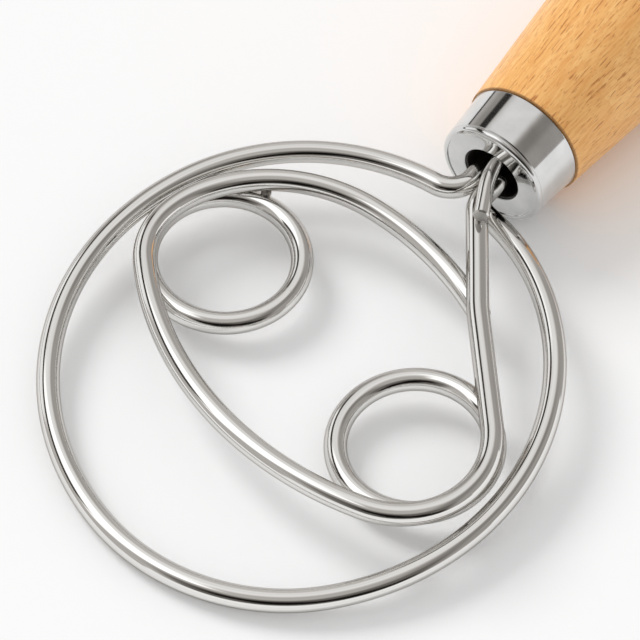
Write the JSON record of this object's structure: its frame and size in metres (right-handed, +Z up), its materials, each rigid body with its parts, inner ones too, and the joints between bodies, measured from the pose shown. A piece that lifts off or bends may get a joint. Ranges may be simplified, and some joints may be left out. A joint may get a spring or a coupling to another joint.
{
  "type": "dough whisk",
  "caption": "Hand whisk for stiff dough: an open head of round steel wire with two small welded eyes, set in a metal collar on a turned wooden handle.",
  "frame": {"origin": "bottom of the middle of the whole object, on the surface that it rests on", "axes": "+Y from the wire head to the end of the handle, +Z up from the surface, +X to the side of the near eye"},
  "size_m": [0.0906, 0.3389, 0.0434],
  "materials": {
    "wire": "polished steel wire",
    "weld": "small dull weld beads",
    "collar_steel": "fine turned brushing",
    "beech": "oiled beech with short flecks",
    "resin": "dark filling"
  },
  "bodies": {
    "root": {"outer_ring": "wire", "inner_wire": "wire", "left_eye": "wire", "right_eye": "wire", "anchor_hook": "wire", "tack_welds": "weld", "collar": "collar_steel", "handle": "beech", "bore_resin": "resin"}
  },
  "joints": []
}
